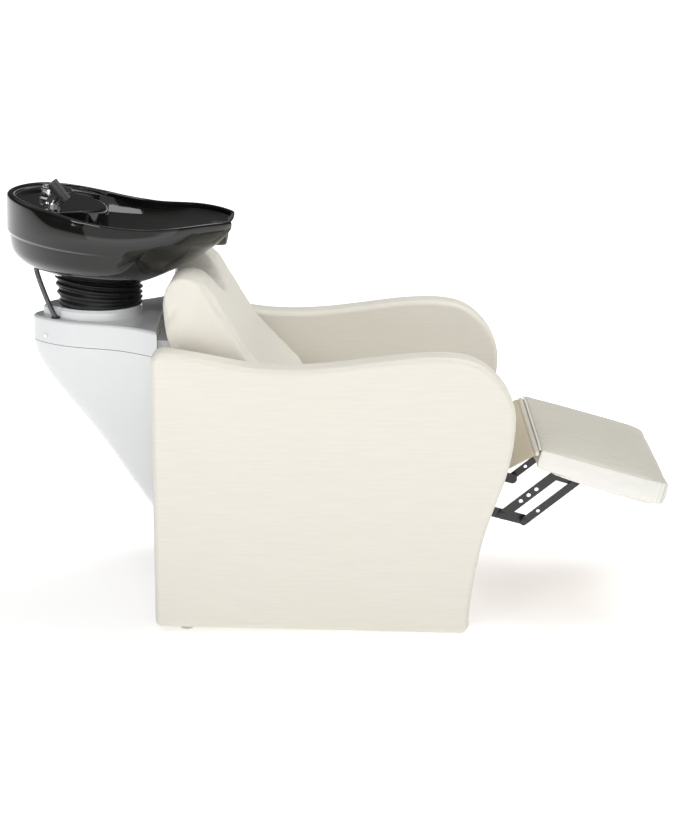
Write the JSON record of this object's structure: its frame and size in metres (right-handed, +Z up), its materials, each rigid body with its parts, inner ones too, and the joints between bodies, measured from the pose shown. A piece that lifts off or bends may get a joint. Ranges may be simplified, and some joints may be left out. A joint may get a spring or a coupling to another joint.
{
  "type": "shampoo backwash unit",
  "caption": "Salon hair-washing chair with side panels, folding footrest and a moulded pedestal that carries a tilting ceramic basin with tap and hand spray.",
  "frame": {"origin": "on the floor, under the middle of the whole unit", "axes": "+X the way the sitter faces, from basin to footrest; +Y the sitter's left; +Z up"},
  "size_m": [1.4559, 0.68, 0.9556],
  "materials": {
    "upholstery": "satin",
    "plywood": "matte",
    "black_steel": "satin",
    "plain_steel": "satin",
    "shell_white": "gloss",
    "black_glaze": "gloss",
    "black_rubber": "satin",
    "neck_gel": "matte",
    "chrome": "polished",
    "dark_plastic": "gloss",
    "red_plastic": "gloss",
    "steel_braid": "satin",
    "white_pipe": "satin",
    "brass_fitting": "satin"
  },
  "bodies": {
    "frame": {"arm_panel_left": "upholstery", "arm_panel_right": "upholstery", "seat_cushion": "upholstery", "backrest_cushion": "upholstery", "rear_panel": "upholstery", "arm_board_left": "plywood", "arm_board_right": "plywood", "front_rail": "plywood", "rear_rail": "plywood", "low_rail": "plywood", "seat_board": "plywood", "backrest_board": "plywood", "seat_frame": "black_steel", "footrest_bracket_left": "black_steel", "footrest_bracket_right": "black_steel", "frame_bolts": "plain_steel", "tilt_clevis": "plain_steel", "tilt_pin": "plain_steel", "base_plate": "plain_steel", "pedestal_column": "plain_steel", "pedestal_shell": "shell_white", "pedestal_cover": "shell_white", "gaiter_collar": "shell_white", "chair_connector": "shell_white", "gaiter": "black_rubber", "hose_grommet": "black_rubber", "waste_hose": "black_rubber", "supply_hoses": "black_rubber", "cover_screws": "chrome", "arm_glides": "dark_plastic", "spray_hose": "steel_braid", "waste_outlet": "white_pipe", "water_inlets": "brass_fitting"},
    "basin_body": {"basin": "black_glaze", "tilt_yoke": "plain_steel", "drain_flange": "chrome", "drain_tail": "white_pipe", "neck_rest": "neck_gel", "mixer_body": "chrome", "spray_holder": "chrome"},
    "strainer": {"drain_strainer": "chrome"},
    "mixer_cap": {"mixer_cap": "chrome"},
    "mixer_lever": {"mixer_lever": "dark_plastic", "mixer_dot": "red_plastic"},
    "spray": {"spray_head": "chrome"},
    "swing_links": {"swing_link_left": "black_steel", "swing_link_right": "black_steel", "swing_shaft": "black_steel", "link_rivets": "black_steel"},
    "lift_links": {"lift_link_left": "black_steel", "lift_link_right": "black_steel"},
    "guide_links": {"guide_link_left": "black_steel", "guide_link_right": "black_steel"},
    "footrest": {"footrest_cushion": "upholstery", "footrest_board": "plywood", "footrest_pad_brackets": "black_steel"},
    "flap": {"footrest_flap": "upholstery", "flap_hinge": "black_steel"}
  },
  "joints": [
    {"name": "basin_tilt", "type": "hinge", "parent": "frame", "child": "basin_body", "pos_m": [-0.524, 0, 0.69], "axis": [0, 1, 0], "range_deg": [-15, 0], "deforming": ["gaiter", "spray_hose", "supply_hoses", "waste_hose"]},
    {"name": "strainer_lift", "type": "slide", "parent": "basin_body", "child": "strainer", "axis": [0.1132, 0, 0.9936], "range_m": [0, 0.06]},
    {"name": "temperature", "type": "hinge", "parent": "basin_body", "child": "mixer_cap", "pos_m": [-0.63053, 0, 0.92346], "axis": [0.1132, 0, 0.9936], "range_deg": [-45, 45]},
    {"name": "flow", "type": "hinge", "parent": "mixer_cap", "child": "mixer_lever", "pos_m": [-0.62973, 0, 0.93052], "axis": [0, 1, 0], "range_deg": [-22, 0]},
    {"name": "spray_pull", "type": "slide", "parent": "basin_body", "child": "spray", "axis": [0.5434, -0.0891, 0.8347], "range_m": [0, 0.12]},
    {"name": "footrest_fold", "type": "hinge", "parent": "frame", "child": "swing_links", "pos_m": [0.259, 0, 0.2534], "axis": [0, 1, 0], "range_deg": [0, 74]},
    {"name": "lift_pivot", "type": "hinge", "parent": "swing_links", "child": "lift_links", "pos_m": [0.36796, 0, 0.2242], "axis": [0, 1, 0], "range_deg": [-124.5, 0]},
    {"name": "guide_pivot", "type": "hinge", "parent": "swing_links", "child": "guide_links", "pos_m": [0.41355, 0, 0.21199], "axis": [0, 1, 0], "range_deg": [-124.5, 0]},
    {"name": "pad_pivot", "type": "hinge", "parent": "lift_links", "child": "footrest", "pos_m": [0.48214, 0, 0.31503], "axis": [0, 1, 0], "range_deg": [0, 124.5]},
    {"name": "flap_fold", "type": "hinge", "parent": "footrest", "child": "flap", "pos_m": [0.434, 0, 0.384], "axis": [0, 1, 0], "range_deg": [0, 44.5]}
  ],
  "couplings": [
    {"joint": "lift_pivot", "follows": "footrest_fold", "ratio": -1.6757},
    {"joint": "guide_pivot", "follows": "footrest_fold", "ratio": -1.6757},
    {"joint": "pad_pivot", "follows": "footrest_fold", "ratio": 1.6757},
    {"joint": "flap_fold", "follows": "footrest_fold", "ratio": 0.59459}
  ]
}
